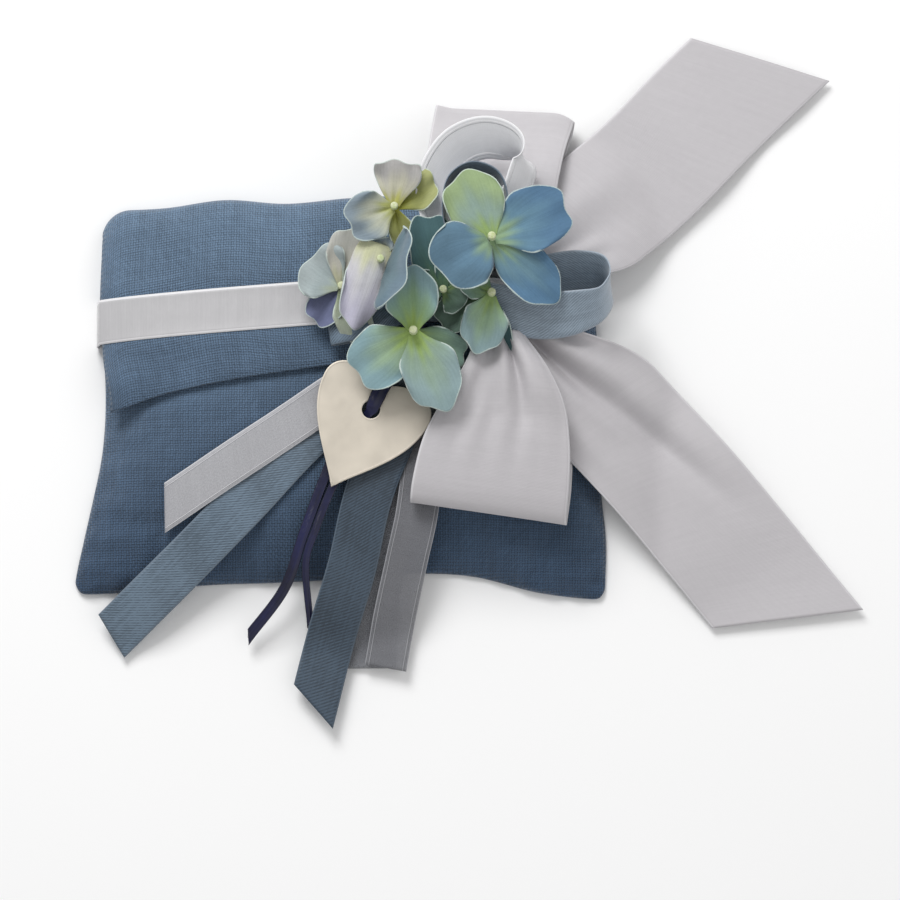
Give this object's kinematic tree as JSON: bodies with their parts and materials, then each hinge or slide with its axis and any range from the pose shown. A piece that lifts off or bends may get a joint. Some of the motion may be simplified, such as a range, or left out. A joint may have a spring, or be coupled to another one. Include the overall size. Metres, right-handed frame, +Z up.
{
  "type": "scented sachet",
  "caption": "Flat linen pouch with a fold-over flap and an inner scent bag, tied with a satin band, ribbon loops and tails, fabric florets and a metal heart charm.",
  "frame": {"origin": "middle of the pouch's flat back face, on the surface it lies on", "axes": "+X along the pouch's long side towards the bow's tails, +Y towards the flap's fold, +Z up out of the pouch's front"},
  "size_m": [0.2441, 0.2162, 0.0446],
  "materials": {
    "linen": "blue-grey linen, plain weave, matte",
    "muslin": "thin cotton muslin, matte",
    "filling": "dried scented filling",
    "white_satin": "white satin ribbon, soft sheen",
    "bow_ribbon": "silver-lilac woven ribbon, soft sheen",
    "blue_ribbon": "slate-blue ribbon with a fine twill",
    "sheer_ribbon": "sheer silver-grey ribbon with stitched edges",
    "navy_ribbon": "narrow navy satin ribbon",
    "charm_metal": "warm silver plate, softly brushed",
    "petal_blue": "dyed fabric petal, blue with pale edges",
    "petal_green": "dyed fabric petal, pale green",
    "petal_teal": "dyed fabric petal, teal",
    "petal_white": "dyed fabric petal, lilac-white",
    "pip": "small cream bead",
    "stem": "wire wrapped in green tape"
  },
  "bodies": {
    "pouch": {"back_panel": "linen", "front_panel": "linen", "scent_bag_back": "muslin", "scent_bag_front": "muslin", "scent_filling": "filling", "flap": "linen", "band_ribbon": "white_satin", "organza_tail": "sheer_ribbon", "blue_tail_left": "blue_ribbon", "sheer_tail_left": "sheer_ribbon", "sheer_tail_right": "sheer_ribbon", "blue_tail_centre": "blue_ribbon", "bow_tail_upper": "bow_ribbon", "bow_tail_lower": "bow_ribbon", "bow_loop_upper": "bow_ribbon", "bow_loop_lower": "bow_ribbon", "blue_loop_left": "blue_ribbon", "blue_loop_right": "blue_ribbon", "blue_loop_upper": "blue_ribbon", "hanging_ring": "white_satin", "bow_knot": "bow_ribbon", "blue_knot": "blue_ribbon", "navy_charm_ribbon": "navy_ribbon", "navy_tail_left": "navy_ribbon", "navy_tail_right": "navy_ribbon", "stem_binding": "stem", "floret_1_petals": "petal_blue", "floret_1_pip": "pip", "floret_1_stem": "stem", "floret_2_petals": "petal_green", "floret_2_pip": "pip", "floret_2_stem": "stem", "floret_3_petals": "petal_teal", "floret_3_pip": "pip", "floret_3_stem": "stem", "floret_4_petals": "petal_white", "floret_4_pip": "pip", "floret_4_stem": "stem", "floret_5_petals": "petal_white", "floret_5_pip": "pip", "floret_5_stem": "stem", "floret_6_petals": "petal_green", "floret_6_pip": "pip", "floret_6_stem": "stem", "floret_7_petals": "petal_teal", "floret_7_pip": "pip", "floret_7_stem": "stem"},
    "charm": {"heart_charm": "charm_metal"},
    "corner": {"flap_corner": "linen"}
  },
  "joints": [
    {"name": "charm_swing", "type": "hinge", "parent": "pouch", "child": "charm", "pos_m": [0.00816, -0.00645, 0.01938], "axis": [0, 0, 1], "range_deg": [-30, 15]},
    {"name": "corner_lift", "type": "hinge", "parent": "pouch", "child": "corner", "pos_m": [-0.0728, 0.0095, 0.0134], "axis": [-0.998, 0.0546, -0.0328], "range_deg": [0, 60]}
  ]
}
